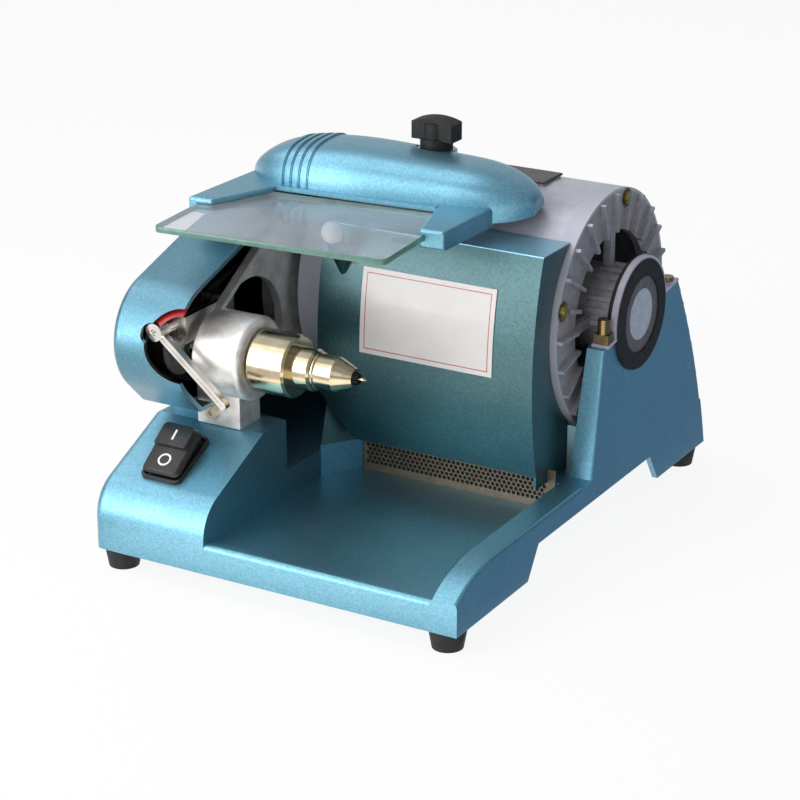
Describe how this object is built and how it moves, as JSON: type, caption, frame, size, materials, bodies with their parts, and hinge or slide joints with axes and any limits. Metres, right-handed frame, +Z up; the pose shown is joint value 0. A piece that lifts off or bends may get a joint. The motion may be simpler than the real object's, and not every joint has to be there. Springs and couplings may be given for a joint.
{
  "type": "bench carving lathe",
  "caption": "Belt-driven bench carving lathe: teal cast base with drip tray, side-on motor, collet spindle with release lever, belt guard, swing hood with glass shield.",
  "frame": {"origin": "middle of the footprint, on the bench under the rubber feet", "axes": "+X to the machine's right, along the spindle towards its tool; +Y to the back; +Z up"},
  "size_m": [0.275, 0.37, 0.272],
  "materials": {
    "teal_paint": "pearl",
    "grey_paint": "satin",
    "brown_paint": "satin",
    "red_paint": "satin",
    "black_rubber": "matte",
    "bright_steel": "polished",
    "plain_steel": "brushed",
    "core_steel": "dull",
    "strip_steel": "satin",
    "cast_aluminium": "as cast",
    "bell_aluminium": "as cast",
    "yellow_brass": "satin",
    "enamelled_copper": "enamelled",
    "black_plastic": "matte",
    "gloss_black": "gloss",
    "white_plate": "satin",
    "frosted_white": "frosted",
    "grey_plastic": "matte",
    "clear_glass": "clear"
  },
  "bodies": {
    "machine": {"base_casting": "teal_paint", "belt_guard": "teal_paint", "belt_guard_liner": "red_paint", "belt_guard_screws": "plain_steel", "blank_plate": "white_plate", "capacitor_clip": "plain_steel", "clamp_screw": "plain_steel", "drive_belt": "black_rubber", "filter_sheet": "black_rubber", "foot_screws": "plain_steel", "guard_gusset": "teal_paint", "head_casting": "cast_aluminium", "hood_post": "plain_steel", "housing_cap": "cast_aluminium", "hub_cap": "grey_paint", "hub_disc": "bright_steel", "junction_box": "bell_aluminium", "junction_lid": "brown_paint", "lamp_globe": "frosted_white", "lamp_holder": "teal_paint", "left_bell": "bell_aluminium", "lever_bracket": "plain_steel", "motor_bearings": "plain_steel", "motor_frame": "grey_paint", "motor_guard": "teal_paint", "perforated_strip": "strip_steel", "post_screws": "plain_steel", "power_inlet": "black_plastic", "right_bell": "bell_aluminium", "rubber_feet": "black_rubber", "rubber_ring": "black_rubber", "run_capacitor": "grey_plastic", "spindle_bearings": "plain_steel", "stator_core": "core_steel", "stator_windings": "enamelled_copper", "strap": "bright_steel", "strap_screws": "yellow_brass", "switch_body": "black_plastic", "through_bolts": "yellow_brass"},
    "rotor": {"rotor_core": "core_steel", "motor_shaft": "plain_steel", "cooling_fan": "black_plastic", "motor_pulley": "cast_aluminium"},
    "spindle": {"spindle_shaft": "plain_steel", "spindle_nose": "bright_steel", "cone_nut": "bright_steel", "spindle_pulley": "cast_aluminium", "disc_springs": "plain_steel"},
    "drawbar": {"drawbar": "plain_steel", "release_collar": "plain_steel", "collar_pin": "plain_steel", "collet": "bright_steel", "needle": "bright_steel"},
    "lever": {"release_lever": "bright_steel", "cross_shaft": "plain_steel"},
    "switch": {"switch_rocker": "gloss_black"},
    "hood": {"hood": "teal_paint", "knob_washer": "plain_steel"},
    "glass": {"glass_shield": "clear_glass"},
    "knob": {"hood_knob": "black_plastic"}
  },
  "joints": [
    {"name": "rotor_spin", "type": "hinge", "parent": "machine", "child": "rotor", "pos_m": [0, 0.065, 0.147], "axis": [1, 0, 0], "continuous": true},
    {"name": "spindle_spin", "type": "hinge", "parent": "machine", "child": "spindle", "pos_m": [0, -0.107, 0.135], "axis": [1, 0, 0], "continuous": true},
    {"name": "drawbar_slide", "type": "slide", "parent": "spindle", "child": "drawbar", "axis": [1, 0, 0], "range_m": [0, 0.0052]},
    {"name": "lever_swing", "type": "hinge", "parent": "machine", "child": "lever", "pos_m": [-0.1055, -0.15, 0.1575], "axis": [0, -1, 0], "range_deg": [0, 25], "stiffness_Nm_per_rad": 0.5},
    {"name": "switch_rock", "type": "hinge", "parent": "machine", "child": "switch", "pos_m": [-0.096, -0.14541, 0.07236], "axis": [-1, 0, 0], "range_deg": [0, 22]},
    {"name": "hood_swing", "type": "hinge", "parent": "machine", "child": "hood", "pos_m": [0, 0.029, 0.248], "axis": [0, 0, 1], "range_deg": [-4, 10]},
    {"name": "glass_slide", "type": "slide", "parent": "hood", "child": "glass", "axis": [0.0785, -0.9969, 0], "range_m": [-0.04, 0.015]},
    {"name": "knob_turn", "type": "hinge", "parent": "machine", "child": "knob", "pos_m": [0, 0.029, 0.26], "axis": [0, 0, 1], "range_deg": [0, 360]}
  ],
  "couplings": [
    {"joint": "spindle_spin", "follows": "rotor_spin", "ratio": 2.2222},
    {"joint": "drawbar_slide", "follows": "lever_swing", "m_per_rad": 0.0105}
  ]
}
